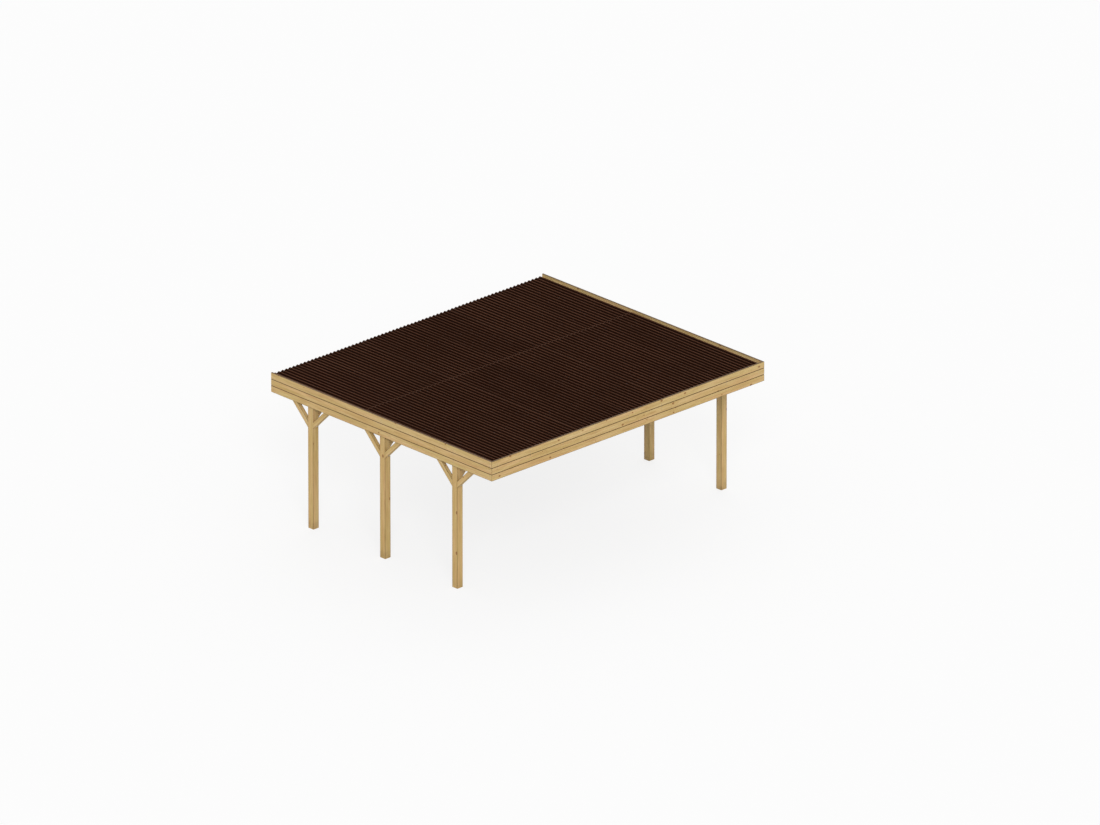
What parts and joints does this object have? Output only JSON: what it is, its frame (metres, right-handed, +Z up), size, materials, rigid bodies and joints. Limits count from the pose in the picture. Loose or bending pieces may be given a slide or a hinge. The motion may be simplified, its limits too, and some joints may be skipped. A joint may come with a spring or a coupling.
{
  "type": "timber double carport",
  "caption": "Open flat-roof timber carport: braced posts and side beams carry rafters and overlapping corrugated sheets behind a fascia of stacked boards.",
  "frame": {"origin": "on the ground, at the centre of the plan", "axes": "+X across the width, to the right as seen from the front; -Y is the front; +Z is up"},
  "size_m": [6, 5.1, 2.44],
  "materials": {
    "timber": "planed, untreated",
    "fascia_board": "planed, untreated",
    "roof_sheet": "matte"
  },
  "bodies": {
    "root": {"left_front_post": "timber", "left_middle_post": "timber", "left_rear_post": "timber", "right_front_post": "timber", "right_middle_post": "timber", "right_rear_post": "timber", "left_front_braces": "timber", "left_middle_braces": "timber", "left_rear_braces": "timber", "right_front_braces": "timber", "right_middle_braces": "timber", "right_rear_braces": "timber", "left_beam": "timber", "right_beam": "timber", "rafter_1": "timber", "rafter_2": "timber", "rafter_3": "timber", "rafter_4": "timber", "rafter_5": "timber", "rafter_6": "timber", "rafter_7": "timber", "left_fascia_lower_board": "fascia_board", "left_fascia_middle_board": "fascia_board", "left_fascia_upper_board": "fascia_board", "right_fascia_lower_board": "fascia_board", "right_fascia_middle_board": "fascia_board", "right_fascia_upper_board": "fascia_board", "front_fascia_lower_board": "fascia_board", "front_fascia_middle_board": "fascia_board", "front_fascia_upper_board": "fascia_board", "rear_sheet_1": "roof_sheet", "rear_sheet_2": "roof_sheet", "rear_sheet_3": "roof_sheet", "rear_sheet_4": "roof_sheet", "rear_sheet_5": "roof_sheet", "rear_sheet_6": "roof_sheet", "front_sheet_1": "roof_sheet", "front_sheet_2": "roof_sheet", "front_sheet_3": "roof_sheet", "front_sheet_4": "roof_sheet", "front_sheet_5": "roof_sheet", "front_sheet_6": "roof_sheet"}
  },
  "joints": []
}
